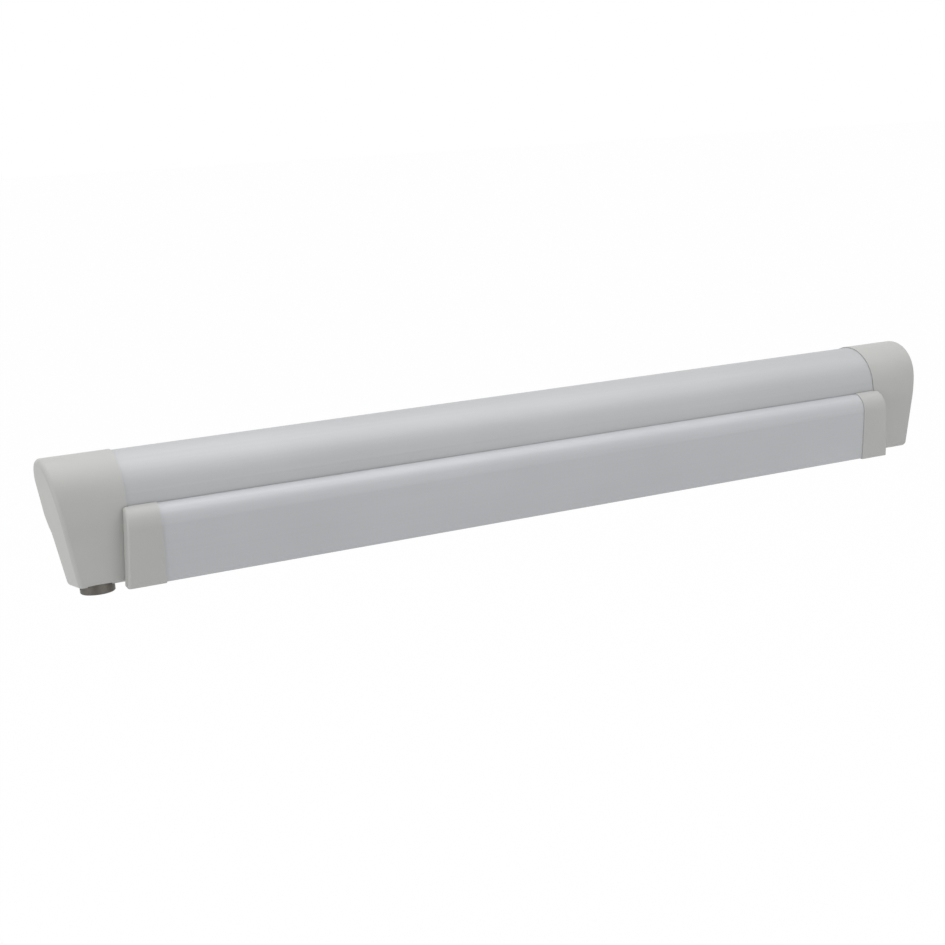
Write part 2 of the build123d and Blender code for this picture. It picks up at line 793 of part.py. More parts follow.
def crank_socket():
    """A steel cup that takes the winding crank, on a neck that is pinned to the worm shaft."""
    top = socket_length + socket_neck_length
    inner_top = socket_bore_depth + socket_inner_depth
    cup = crank_round(socket_radius, 0, socket_length)
    cup = chamfer(cup.edges().group_by(Axis.Z)[0], socket_rim_chamfer)
    cup += crank_round(socket_neck_radius, 0, top)
    cup -= crank_round(socket_bore, -overcut, socket_bore_depth)
    cup -= crank_round(socket_inner_bore, 0, inner_top)
    hub_floor = top - socket_hub_depth - seat_gap
    cup -= crank_round(worm_shaft_radius + running_clearance, hub_floor, top + overcut)
    mouth = cup.edges().filter_by(GeomType.CIRCLE).group_by(Axis.Z)[0].sort_by(SortBy.RADIUS)[0]
    cup = chamfer(mouth, socket_mouth_chamfer)
    for height in socket_pin_heights():
        cup -= socket_pin(height, socket_pin_radius + fit_clearance, 2 * socket_radius)
    side_hole = Pos(0, 0, socket_mouth() + socket_bore_depth / 2) * Rot(0, -90, socket_side_turn)
    cup -= side_hole * Cylinder(
        socket_side_hole, 2 * socket_radius, align=(Align.CENTER, Align.CENTER, Align.MIN)
    )
    return crank_place() * cup


def socket_pin_heights():
    """The cross pin that drives the crank, and the pin that holds the neck on the shaft."""
    hub_pin = socket_length + socket_neck_length - socket_hub_depth / 2
    return (socket_bore_depth + socket_inner_depth - socket_pin_radius - socket_pin_rise, hub_pin)


def socket_pin(height, radius, length):
    return Pos(0, 0, socket_mouth() + height) * Rot(0, 90, 0) * Cylinder(radius, length)


# Folding arms, drawn for the right side and mirrored for the left
def arm_tube(y, start, end):
    outer = Pos(y, arm_z) * RectangleRounded(arm_depth, arm_height, arm_corner)
    inner = Pos(y, arm_z) * RectangleRounded(
        arm_depth - 2 * arm_wall, arm_height - 2 * arm_wall, arm_corner - arm_wall
    )
    return bar(outer - inner, start, end)


def tube_spigot(y, mouth, direction):
    """A collar on the mouth of an arm tube and the spigot inside it."""
    collar = Pos(y, arm_z) * RectangleRounded(arm_depth, arm_height, arm_corner)
    inside = 2 * (arm_wall + fit_clearance)
    spigot = Pos(y, arm_z) * RectangleRounded(
        arm_depth - inside, arm_height - inside, arm_corner - arm_wall
    )
    outer_face = mouth - direction * arm_collar
    inner_face = mouth + direction * spigot_length
    low, high = sorted((outer_face, mouth - direction * seat_gap))
    part = bar(collar, low, high)
    low, high = sorted((outer_face, inner_face))
    return part + bar(spigot, low, high)


def plate_hull(pivot, radius, x_range, y_range, z_range):
    """A flat lug: the hull of a disc about a pivot and a rectangle, seen from above."""
    disc = Pos(*pivot) * Circle(radius)
    block = rectangle_between((x_range[0], y_range[0]), (x_range[1], y_range[1]))
    hull = make_hull(disc.edges() + block.edges())
    return Pos(0, 0, z_range[0]) * extrude(hull, amount=z_range[1] - z_range[0])


def arm_knuckle(y):
    """The casting on the outer end of an arm tube, which turns between the bracket's ears."""
    pivot = (shoulder_x, y)
    mouth = tube_outer_end + arm_collar
    levels = (arm_z - knuckle_half, arm_z + knuckle_half)
    half = arm_depth / 2 - knuckle_side_step
    knuckle = plate_hull(pivot, knuckle_radius, (mouth - overcut, mouth), (y - half, y + half), levels)
    knuckle += tube_spigot(y, tube_outer_end, -1)
    return knuckle - along_z(pivot_pin_radius + running_clearance, below_all, 0, *pivot)


def elbow_fork():
    """The casting on the upper arm: two ears over and under the tongue of the forearm."""
    pivot = (elbow_x, elbow_y)
    mouth = tube_inner_end - arm_collar
    width = (upper_arm_y - arm_depth / 2, upper_arm_y + arm_depth / 2)
    levels = (arm_z - arm_height / 2, arm_z + arm_height / 2)
    fork = plate_hull(pivot, knuckle_radius, (mouth - elbow_lug_root, mouth), width, levels)
    fork += tube_spigot(upper_arm_y, tube_inner_end, 1)
    low = (0, elbow_y - 2 * arm_depth, arm_z - elbow_ear_inner)
    high = (mouth + overcut, elbow_y + elbow_parting, arm_z + elbow_ear_inner)
    fork -= box_between(low, high)
    fork -= along_z(elbow_swing_radius, arm_z - elbow_ear_inner, arm_z + elbow_ear_inner, *pivot)
    return fork - along_z(pivot_pin_radius + fit_clearance, below_all, 0, *pivot)


def elbow_tongue():
    """The casting on the forearm that turns in the fork."""
    pivot = (elbow_x, elbow_y)
    mouth = tube_inner_end - arm_collar
    width = (fore_arm_y - arm_depth / 2, fore_arm_y + arm_depth / 2)
    levels = (arm_z - tongue_half, arm_z + tongue_half)
    tongue = plate_hull(pivot, knuckle_radius, (mouth - elbow_lug_root, mouth), width, levels)
    low = (0, elbow_y - elbow_parting, arm_z - tongue_half - overcut)
    high = (mouth + overcut, elbow_y + 2 * arm_depth, arm_z + tongue_half + overcut)
    tongue -= box_between(low, high)
    tongue += along_z(knuckle_radius, levels[0], levels[1], *pivot)
    tongue += tube_spigot(fore_arm_y, tube_inner_end, 1)
    return tongue - along_z(pivot_pin_radius + running_clearance, below_all, 0, *pivot)


def pivot_pin(x, y, half_height):
    """A headed pin with a domed lower end and a retaining groove."""
    pin = along_z(pivot_pin_radius, arm_z - half_height, arm_z + half_height, x, y)
    pin += along_z(pin_head_radius, arm_z + half_height, arm_z + half_height + pin_head_height, x, y)
    return chamfer(pin.edges().group_by(Axis.Z)[0], pin_end_chamfer)


def arm_spring():
    """The wound tension spring, as a sleeve of the same size."""
    section = Pos(fore_arm_y, arm_z) * (Circle(spring_radius) - Circle(spring_radius - spring_wall))
    end = tube_outer_end - spigot_length - spring_end_gap
    return bar(section, tube_inner_end + spring_start, end)


def chamber_face(inset):
    """The space of the arms inside the housing, seen along X."""
    inner = casing_face(-housing_wall - inset)
    return inner & rectangle_between(
        (2 * front_wall_y, shelf_top + inset), (2 * dome_radius, web_bottom - inset)
    )


def bracket_screw_places():
    first = shoulder_x + bracket_foot - bracket_wall
    return (first, first + bracket_screw_spacing)


def shoulder_bracket():
    """A C-shaped casting between the web and the shelf, with an ear above and below the arm."""
    pivot = (shoulder_x, upper_arm_y)
    levels = (shelf_top + seat_gap, web_bottom - seat_gap)
    wall_x = shoulder_x + ear_radius + bracket_wall_step
    foot_end = bracket_screw_places()[1] + bracket_screw_head
    front = upper_arm_y - ear_radius
    rear = upper_arm_y + 2 * ear_radius
    bracket = plate_hull(pivot, ear_radius, (wall_x, foot_end), (front, rear), levels)
    open_end = shoulder_x - 2 * ear_radius
    closed_end = foot_end + overcut
    bracket &= bar(chamber_face(seat_gap), open_end, closed_end)
    low, high = arm_z - ear_inner, arm_z + ear_inner
    ahead = front - overcut
    bracket -= box_between((open_end, ahead, low), (wall_x, rear + overcut, high))
    foot_rear = rear - 2 * bracket_wall
    bracket -= box_between((wall_x + bracket_wall, ahead, low), (closed_end, foot_rear, high))
    bracket -= along_z(pivot_pin_radius + fit_clearance, below_all, 0, *pivot)
    bracket -= along_z(pin_head_radius + fit_clearance, arm_z + ear_pin_half - fit_clearance, 0, *pivot)
    for x in bracket_screw_places():
        bracket -= sunk_screw_space(x, upper_arm_y, arm_z - ear_inner, shelf_top)
    return bracket


def sunk_screw_space(x, y, top, bottom):
    """The hole and the countersink of a screw that is driven down into a shelf."""
    cone = screw_cone(x, y, top, bracket_screw_room)
    return along_z(bracket_screw_hole, bottom - overcut, top + overcut, x, y) + cone


def screw_cone(x, y, top, room):
    """The head of a countersunk screw whose flat top lies a little below a face."""
    height = bracket_screw_head_depth
    cone = Cone(
        bracket_screw_radius + room,
        bracket_screw_head + room,
        height,
        align=(Align.CENTER, Align.CENTER, Align.MIN),
    )
    return Pos(x, y, top - height) * cone


def sunk_screw(x, y, top, bottom):
    level = top - fit_clearance
    shank = along_z(bracket_screw_radius, bottom, level - overcut, x, y)
    key = extrude(RegularPolygon(bracket_screw_key, 6), amount=bracket_screw_head_depth)
    return shank + screw_cone(x, y, level, 0) - Pos(x, y, level - bracket_screw_head_depth / 2) * key


# Lead rail
def lead_face(grow=0.0):
    """The closed outline of the lead rail. It can be grown at the front, the top and the bottom."""
    top = (lead_rear_upper, lead_top + grow)
    widest = (lead_front - grow, lead_roll_bottom)
    bottom = (lead_front + lead_bottom_lean - grow, lead_bottom - grow)
    roll = TangentArc(widest, top, tangent=(0, 1))
    front = TangentArc(widest, bottom, tangent=(0, -1))
    step_z = lead_channel_top + lead_wall + lead_step_rise + grow
    rest = Polyline(
        bottom,
        (lead_rear_lower, lead_bottom - grow),
        (lead_rear_lower, step_z),
        (lead_rear_upper, step_z),
        top,
    )
    return make_face(roll + front + rest)


def front_keder_place():
    return (lead_rear_upper + keder_groove_radius - front_keder_sink, -front_keder_drop)


def lead_section():
    outline = lead_face()
    section = outline - offset(outline, -lead_wall)
    inside_rear = lead_rear_lower - lead_wall
    section += outline & rectangle_between(
        (lead_front, lead_channel_top), (lead_rear_lower, lead_channel_top + lead_wall)
    )
    inside_front = lead_front + lead_bottom_lean + lead_wall
    low = (inside_front, lead_bottom - overcut)
    section -= rectangle_between(low, (inside_rear, lead_bottom + 2 * lead_wall))
    section += rectangle_between(
        (inside_rear, lead_bottom), (lead_shelf_rear, lead_bottom + lead_wall)
    )
    groove = Pos(*front_keder_place())
    section += groove * Circle(keder_groove_radius)
    section -= groove * Circle(keder_groove_bore)
    section -= groove * Pos(keder_groove_radius, 0) * Rectangle(2 * keder_groove_radius, keder_slot)
    return section


def lead_rail_profile():
    rail = bar(lead_section(), -lead_half, lead_half)
    top = lead_bottom + lead_wall + overcut
    for x in wrist_screw_places():
        for side in (-1, 1):
            rail -= along_z(bracket_screw_hole, below_all, top, side * x, fore_arm_y)
    return rail


def lead_cap_end_plane(inset):
    """The outer end of the right cap: it leans outward downwards."""
    middle = (lead_cap_end - inset, 0, lead_bottom / 2)
    return Plane(origin=middle, z_dir=(1, 0, lead_cap_lean))


def lead_cap():
    """The right cap of the lead rail: a shell whose front strip laps over the end cap."""
    longest = lead_cap_end - lead_cap_lean * lead_bottom
    body = bar(lead_face(lead_cap_proud), lead_half, longest)
    body = split(body, bisect_by=lead_cap_end_plane(0), keep=Keep.BOTTOM)
    outer_end = body.faces().sort_by(Axis.X)[-1]
    body = fillet(outer_end.edges().sort_by(Axis.Y)[:2], lead_cap_edge)
    strip_start = half_length - seat_gap - lead_cap_step
    strip_rear = front_wall_y - cap_proud - lead_gap
    body -= box_between((strip_start, strip_rear, below_all), (longest + overcut, 0, -lead_top))
    hollow = offset(lead_face(), -lead_cap_wall)
    inside = bar(hollow, lead_half - overcut, strip_start - lead_cap_wall)
    strip = hollow & rectangle_between((2 * lead_front, below_all), (strip_rear - lead_cap_wall, 0))
    channel = bar(strip, lead_half - overcut, longest)
    inside += split(channel, bisect_by=lead_cap_end_plane(lead_cap_wall), keep=Keep.BOTTOM)
    return body - inside


def wrist_screw_places():
    first = shoulder_x - wrist_foot + bracket_screw_head + wrist_screw_edge
    return (first, first + bracket_screw_spacing)


def wrist_bracket():
    """A C-shaped casting on the lead rail's shelf that holds the wrist of the forearm."""
    pivot = (shoulder_x, fore_arm_y)
    floor = lead_bottom + lead_wall + seat_gap
    levels = (floor, web_bottom - wrist_web_gap)
    wall_x = shoulder_x + ear_radius + wrist_wall_step
    outer = wall_x + wrist_wall
    width = (lead_rear_lower + seat_gap, fore_arm_y + ear_radius - wrist_rear_inset)
    bracket = plate_hull(pivot, ear_radius, (wall_x, outer), width, levels)
    inside = (arm_z - ear_inner, arm_z + ear_inner)
    open_end = shoulder_x - 2 * ear_radius
    bracket -= box_between((open_end, 2 * front_wall_y, inside[0]), (wall_x, 0, inside[1]))
    foot_low = (shoulder_x - wrist_foot, width[0], floor)
    foot_high = (shoulder_x, width[1] - wrist_foot_inset, floor + wrist_foot_thickness)
    bracket += box_between(foot_low, foot_high)
    bracket -= along_z(pivot_pin_radius + fit_clearance, below_all, 0, *pivot)
    bracket -= along_z(pin_head_radius + fit_clearance, arm_z + ear_pin_half - fit_clearance, 0, *pivot)
    for x in wrist_screw_places():
        bracket -= sunk_screw_space(x, fore_arm_y, floor + wrist_foot_thickness, floor)
    return bracket


def front_keder():
    """The rod in the fabric's front hem, held in the groove of the lead rail."""
    half = lead_half - front_keder_end
    return along_x(keder_groove_bore - soft_gap, -half, half, *front_keder_place())


# Support legs, drawn for the right side
def leg_hinge():
    """A U-shaped bracket under the roof of the leg channel."""
    cheek_inner = leg_knuckle_thickness / 2 + ear_clearance
    cheek_outer = cheek_inner + leg_cheek
    top = lead_channel_top - seat_gap
    pivot_z = leg_z
    profile = Pos(leg_x, pivot_z) * Circle(leg_knuckle_radius)
    profile += rectangle_between(
        (leg_x - leg_knuckle_radius, pivot_z), (leg_x + leg_knuckle_radius, top)
    )
    block = Pos(0, leg_y + cheek_outer, 0) * extrude(Plane.XZ * profile, amount=2 * cheek_outer)
    block -= box_between(
        (leg_x - 2 * leg_knuckle_radius, leg_y - cheek_inner, below_all),
        (leg_x + 2 * leg_knuckle_radius, leg_y + cheek_inner, top - leg_cheek),
    )
    pin_space = leg_pin_radius + fit_clearance
    return block - along_y(pin_space, leg_y - leg_depth, leg_y + leg_depth, leg_x, leg_z)


def leg_pin():
    half = leg_knuckle_thickness / 2 + ear_clearance + leg_cheek
    return along_y(leg_pin_radius, leg_y - half, leg_y + half, leg_x, leg_z)


def leg_section(depth, height, corner):
    return Pos(leg_y, leg_z) * RectangleRounded(depth, height, corner)


def leg_outer_end():
    return leg_x - leg_knuckle_reach


def leg_tube():
    outer = leg_section(leg_depth, leg_height, leg_corner)
    inner = leg_section(leg_depth - 2 * leg_wall, leg_height - 2 * leg_wall, leg_corner - leg_wall)
    return bar(outer - inner, leg_inner_end, leg_outer_end())


def leg_knuckle():
    half = leg_knuckle_thickness / 2
    disc = Pos(leg_x, leg_z) * Circle(leg_knuckle_radius)
    neck = rectangle_between(
        (leg_outer_end() + seat_gap, leg_z - leg_knuckle_radius), (leg_x, leg_z + leg_knuckle_radius)
    )
    profile = disc + neck
    knuckle = Pos(0, leg_y + half, 0) * extrude(Plane.XZ * profile, amount=2 * half)
    inside = 2 * (leg_wall + fit_clearance)
    spigot = leg_section(leg_depth - inside, leg_height - inside, leg_corner - leg_wall)
    knuckle += bar(spigot, leg_outer_end() - spigot_length, leg_outer_end() + overcut)
    space = leg_pin_radius + running_clearance
    return knuckle - along_y(space, leg_y - leg_depth, leg_y + leg_depth, leg_x, leg_z)


def leg_inner_size():
    taken = 2 * (leg_wall + leg_bush_wall + leg_tube_clearance)
    return leg_depth - taken, leg_height - taken, leg_corner - leg_wall - leg_bush_wall / 2


def leg_inner_tube():
    depth, height, corner = leg_inner_size()
    outer = leg_section(depth, height, corner)
    inner = leg_section(depth - 2 * leg_inner_wall, height - 2 * leg_inner_wall, corner / 2)
    end = leg_outer_end() - spigot_length - leg_inner_gap
    return bar(outer - inner, leg_foot_joint(), end)


def leg_foot_joint():
    """Where the foot meets the inner tube, just outside the guide."""
    return leg_inner_end - leg_bush_flange - leg_foot_gap


def leg_bush():
    """The moulded guide in the mouth of the outer tube, with a flange over the tube's end."""
    inside = 2 * (leg_wall + fit_clearance)
    flange = leg_section(leg_depth, leg_height, leg_corner)
    sleeve = leg_section(leg_depth - inside, leg_height - inside, leg_corner - leg_wall)
    depth, height, corner = leg_inner_size()
    room = 2 * running_clearance
    mouth = leg_section(depth + room, height + room, corner + running_clearance)
    start = leg_inner_end - leg_bush_flange
    bush = bar(flange, start, leg_inner_end - seat_gap)
    bush += bar(sleeve, start, leg_inner_end + leg_bush_length)
    return bush - bar(mouth, start - overcut, leg_inner_end + leg_bush_length + overcut)


def leg_foot():
    """A moulded foot: a plug in the inner tube, a neck and a block with a hole for a peg."""
    depth, height, corner = leg_inner_size()
    start = leg_foot_joint()
    inside = 2 * (leg_inner_wall + fit_clearance)
    plug = leg_section(depth - inside, height - inside, corner / 2)
    foot = bar(plug, start - overcut, start + spigot_length / 2)
    foot += bar(leg_section(depth, height, corner), start - leg_foot_neck, start - seat_gap)
    block = leg_section(leg_depth, leg_height, leg_corner)
    foot += bar(block, start - leg_foot_length, start - leg_foot_neck)
    hole_x = start - (leg_foot_length + leg_foot_neck) / 2
    return foot - Pos(hole_x, leg_y, leg_z) * Cylinder(leg_foot_hole, 2 * leg_height)


# The whole awning
def mirrored(shape):
    return mirror(shape, about=Plane.YZ)


def all_pieces():
    """Each piece by its name. A list holds separate solids that share a name."""
    pieces = {}
    pieces["cassette_housing"] = cassette_housing()
    pieces["side_plate_right"] = side_plate(bush_radius)
    left_plate = mirrored(side_plate(drive_shaft_radius + shaft_room))
    for y, z in gearbox_screw_places():
        left_plate -= along_x(screw_port_bore, -plate_outer - overcut, -half_length + overcut, y, z)
    pieces["side_plate_left"] = left_plate
    screws = [side_plate_screw(y, z) for y, z in screw_port_places()]
    pieces["side_plate_screws"] = screws + [mirrored(screw) for screw in screws]
    pieces["end_cap_right"] = end_cap()
    pieces["end_cap_left"] = mirrored(end_cap()) - crank_cut()
    screws = end_cap_screw_pair()
    pieces["end_cap_screws"] = screws + [mirrored(screw) for screw in screws]
    pieces["roller_bush"] = roller_bush()
    pieces["roller_tube"] = roller_tube()
    pieces["drive_plug"] = drive_plug()
    pieces["idler_plug"] = idler_plug()
    pieces["fabric_roll"] = fabric_roll()
    pieces["worm_wheel"] = worm_wheel()
    pieces["worm_shaft"] = worm_shaft()
    pieces["crank_socket"] = crank_socket()
    pin_length = 2 * (socket_neck_radius - socket_pin_sink)
    pins = [socket_pin(height, socket_pin_radius, pin_length) for height in socket_pin_heights()]
    pieces["socket_pins"] = [crank_place() * pin for pin in pins]
    pieces["gearbox_housing"] = gearbox_housing()
    pieces["gearbox_cover"] = gearbox_cover()
    pieces["gearbox_screws"] = gearbox_screws()
    pieces["lead_rail_profile"] = lead_rail_profile()
    pieces["front_keder"] = front_keder()
    floor = lead_bottom + lead_wall + seat_gap
    sided = {
        "upper_arm_tube": arm_tube(upper_arm_y, tube_inner_end, tube_outer_end),
        "fore_arm_tube": arm_tube(fore_arm_y, tube_inner_end, tube_outer_end),
        "shoulder_knuckle": arm_knuckle(upper_arm_y),
        "wrist_knuckle": arm_knuckle(fore_arm_y),
        "elbow_fork": elbow_fork(),
        "elbow_tongue": elbow_tongue(),
        "elbow_pin": pivot_pin(elbow_x, elbow_y, arm_height / 2),
        "arm_spring": arm_spring(),
        "shoulder_bracket": shoulder_bracket(),
        "wrist_bracket": wrist_bracket(),
        "lead_cap": lead_cap(),
    }
    for name, piece in sided.items():
        pieces[name + "_right"] = piece
        pieces[name + "_left"] = mirrored(piece)
    legs = {
        "leg_hinge": leg_hinge(),
        "leg_tube": leg_tube(),
        "leg_knuckle": leg_knuckle(),
        "leg_inner_tube": leg_inner_tube(),
        "leg_bush": leg_bush(),
        "leg_foot": leg_foot(),
    }
    to_rear_lane = Pos(0, left_leg_y - leg_y, 0)
    for name, piece in legs.items():
        pieces[name + "_right"] = piece
        pieces[name + "_left"] = to_rear_lane * mirrored(piece)
    pieces["leg_pins"] = [leg_pin(), to_rear_lane * mirrored(leg_pin())]
    paired = {
        "shoulder_pins": [pivot_pin(shoulder_x, upper_arm_y, ear_pin_half)],
        "wrist_pins": [pivot_pin(shoulder_x, fore_arm_y, ear_pin_half)],
        "shoulder_screws": [
            sunk_screw(x, upper_arm_y, arm_z - ear_inner, casing_bottom) for x in bracket_screw_places()
        ],
        "wrist_screws": [
            sunk_screw(x, fore_arm_y, floor + wrist_foot_thickness, lead_bottom)
            for x in wrist_screw_places()
        ],
    }
    for name, solids in paired.items():
        pieces[name] = solids + [mirrored(solid) for solid in solids]
    return pieces


def main():
    os.makedirs("parts", exist_ok=True)
    to_back_face = Pos(0, -axis_to_back, 0)
    for name, piece in all_pieces().items():
        solids = piece if isinstance(piece, list) else [piece]
        placed = [to_back_face * solid for solid in solids]
        whole = placed[0] if len(placed) == 1 else Compound(children=placed)
        export_step(whole, f"parts/{name}.step")


main()
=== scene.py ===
import json
from math import cos, pi, radians, sin

import bpy
from mathutils import Matrix, Vector


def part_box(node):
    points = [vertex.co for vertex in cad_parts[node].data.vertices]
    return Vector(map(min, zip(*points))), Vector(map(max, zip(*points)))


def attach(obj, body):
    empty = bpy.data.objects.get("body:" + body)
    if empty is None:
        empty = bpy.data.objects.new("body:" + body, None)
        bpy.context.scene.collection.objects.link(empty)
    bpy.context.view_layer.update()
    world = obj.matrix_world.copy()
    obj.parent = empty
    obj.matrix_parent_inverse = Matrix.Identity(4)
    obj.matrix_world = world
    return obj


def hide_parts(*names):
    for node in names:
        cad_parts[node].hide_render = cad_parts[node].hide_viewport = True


# Lengths are in metres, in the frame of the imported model: X along the cassette, -Y to the front
# and Z up, with the origin on the face that lies on the vehicle.

# Camera, matched to the photograph
image_width = 945
focal_pixels = 1553.2
sensor_width = 36.0
camera_place = (-0.8152, -1.5769, 0.4044)
camera_yaw = 0.454
camera_pitch = 0.253
camera_roll = -0.038

# Room, with the floor just under the feet of the extended legs
floor_height = -0.752
floor_size = 40.0
floor_whiteness = 0.985
floor_dark = (0.84, 0.84, 0.84)
floor_light = (0.86, 0.86, 0.86)
floor_roughness = 0.9
floor_cloud_scale = 1.5
plain_white = (1.0, 1.0, 1.0, 1.0)
white_strength = 1.0
ambient_colour = (0.98, 0.99, 1.0, 1.0)
ambient_strength = 0.5
lamp_aim = (0, 0, 0)

# Fabric on the roller
layer_pitch = 0.000465
cloth_thickness = 0.0004
steps_per_turn = 48
cloth_end_angle = 215.0
cloth_sharp_angle = 40
thread_scale = 320.0
thread_waver = 0.4

# Span of a pattern's values over which colour and roughness change
pattern_low = 0.3
pattern_high = 0.7


# Materials
def start_material(name):
    material = bpy.data.materials.new(name)
    material.use_nodes = True
    nodes = material.node_tree.nodes
    nodes.clear()
    output = nodes.new("ShaderNodeOutputMaterial")
    shader = nodes.new("ShaderNodeBsdfPrincipled")
    material.node_tree.links.new(shader.outputs["BSDF"], output.inputs["Surface"])
    return material, shader


def even(scale):
    """The same scale along X, Y and Z."""
    return (scale, scale, scale)


def grain(material, scale, detail=3.0):
    """A noise pattern fixed to the piece, with its scale along X, Y and Z per metre."""
    nodes, links = material.node_tree.nodes, material.node_tree.links
    place = nodes.new("ShaderNodeTexCoord")
    stretch = nodes.new("ShaderNodeMapping")
    stretch.inputs["Scale"].default_value = scale
    links.new(place.outputs["Object"], stretch.inputs["Vector"])
    texture = nodes.new("ShaderNodeTexNoise")
    texture.inputs["Scale"].default_value = 1.0
    texture.inputs["Detail"].default_value = detail
    links.new(stretch.outputs["Vector"], texture.inputs["Vector"])
    return texture.outputs["Fac"]


def vary_colour(material, shader, pattern, dark, light):
    nodes, links = material.node_tree.nodes, material.node_tree.links
    ramp = nodes.new("ShaderNodeValToRGB")
    ramp.color_ramp.elements[0].position = pattern_low
    ramp.color_ramp.elements[0].color = (*dark, 1.0)
    ramp.color_ramp.elements[1].position = pattern_high
    ramp.color_ramp.elements[1].color = (*light, 1.0)
    links.new(pattern, ramp.inputs["Fac"])
    links.new(ramp.outputs["Color"], shader.inputs["Base Color"])


def vary_roughness(material, shader, pattern, roughness, below, above):
    nodes, links = material.node_tree.nodes, material.node_tree.links
    spread = nodes.new("ShaderNodeMapRange")
    spread.inputs["From Min"].default_value = pattern_low
    spread.inputs["From Max"].default_value = pattern_high
    spread.inputs["To Min"].default_value = roughness - below
    spread.inputs["To Max"].default_value = roughness + above
    links.new(pattern, spread.inputs["Value"])
    links.new(spread.outputs["Result"], shader.inputs["Roughness"])


def add_bump(material, shader, pattern, depth, strength):
    nodes, links = material.node_tree.nodes, material.node_tree.links
    bump = nodes.new("ShaderNodeBump")
    bump.inputs["Distance"].default_value = depth
    bump.inputs["Strength"].default_value = strength
    links.new(pattern, bump.inputs["Height"])
    links.new(bump.outputs["Normal"], shader.inputs["Normal"])


def shades(colour, spread):
    """A darker and a lighter shade of a colour."""
    dark = tuple(part * (1 - spread) for part in colour)
    light = tuple(min(part * (1 + spread), 1.0) for part in colour)
    return dark, light


def anodised(name, colour, roughness):
    """Extruded aluminium with faint lines along X and slow changes of tone."""
    material, shader = start_material(name)
    shader.inputs["Metallic"].default_value = 0.3
    lines = grain(material, scale=(3, 900, 900), detail=2.0)
    clouds = grain(material, scale=(6, 9, 9))
    vary_colour(material, shader, clouds, *shades(colour, spread=0.025))
    vary_roughness(material, shader, lines, roughness, below=0.04, above=0.06)
    add_bump(material, shader, lines, depth=0.00001, strength=0.35)
    return material


def moulded(name, colour, roughness, grit=2600):
    """Moulded plastic, or a powder coat, with a fine grain."""
    material, shader = start_material(name)
    fine = grain(material, scale=even(grit), detail=2.0)
    clouds = grain(material, scale=even(14))
    vary_colour(material, shader, clouds, *shades(colour, spread=0.03))
    vary_roughness(material, shader, clouds, roughness, below=0.05, above=0.05)
    add_bump(material, shader, fine, depth=0.00002, strength=0.35)
    return material


def cast(name, colour, roughness):
    """A die casting with a mottled skin."""
    material, shader = start_material(name)
    shader.inputs["Metallic"].default_value = 0.6
    mottle = grain(material, scale=even(220), detail=4.0)
    fine = grain(material, scale=even(1500), detail=2.0)
    vary_colour(material, shader, mottle, *shades(colour, spread=0.1))
    vary_roughness(material, shader, mottle, roughness, below=0.06, above=0.08)
    add_bump(material, shader, fine, depth=0.00003, strength=0.5)
    return material


def machined(name, colour, roughness):
    """Turned or drawn metal with rubbed patches."""
    material, shader = start_material(name)
    shader.inputs["Metallic"].default_value = 0.9
    rubbed = grain(material, scale=even(160), detail=4.0)
    rings = grain(material, scale=(150, 150, 3500), detail=2.0)
    vary_colour(material, shader, rubbed, *shades(colour, spread=0.18))
    vary_roughness(material, shader, rubbed, roughness, below=0.07, above=0.09)
    add_bump(material, shader, rings, depth=0.00001, strength=0.4)
    return material


def galvanised(name, colour, roughness):
    """Zinc coated steel with its frost pattern."""
    material, shader = start_material(name)
    shader.inputs["Metallic"].default_value = 0.85
    frost = grain(material, scale=even(90), detail=5.0)
    vary_colour(material, shader, frost, *shades(colour, spread=0.12))
    vary_roughness(material, shader, frost, roughness, below=0.05, above=0.1)
    add_bump(material, shader, frost, depth=0.00002, strength=0.4)
    return material


def woven(name, colour, roughness):
    """Coated awning cloth, in which the warp and weft threads show."""
    material, shader = start_material(name)
    nodes, links = material.node_tree.nodes, material.node_tree.links
    place = nodes.new("ShaderNodeTexCoord")
    threads = []
    for direction in ("X", "Z"):
        wave = nodes.new("ShaderNodeTexWave")
        wave.bands_direction = direction
        wave.inputs["Scale"].default_value = thread_scale
        wave.inputs["Distortion"].default_value = thread_waver
        links.new(place.outputs["Object"], wave.inputs["Vector"])
        threads.append(wave.outputs["Fac"])
    weave = nodes.new("ShaderNodeMath")
    weave.operation = "MULTIPLY"
    links.new(threads[0], weave.inputs[0])
    links.new(threads[1], weave.inputs[1])
    vary_colour(material, shader, weave.outputs["Value"], *shades(colour, spread=0.1))
    shader.inputs["Roughness"].default_value = roughness
    add_bump(material, shader, weave.outputs["Value"], depth=0.00008, strength=0.6)
    return material


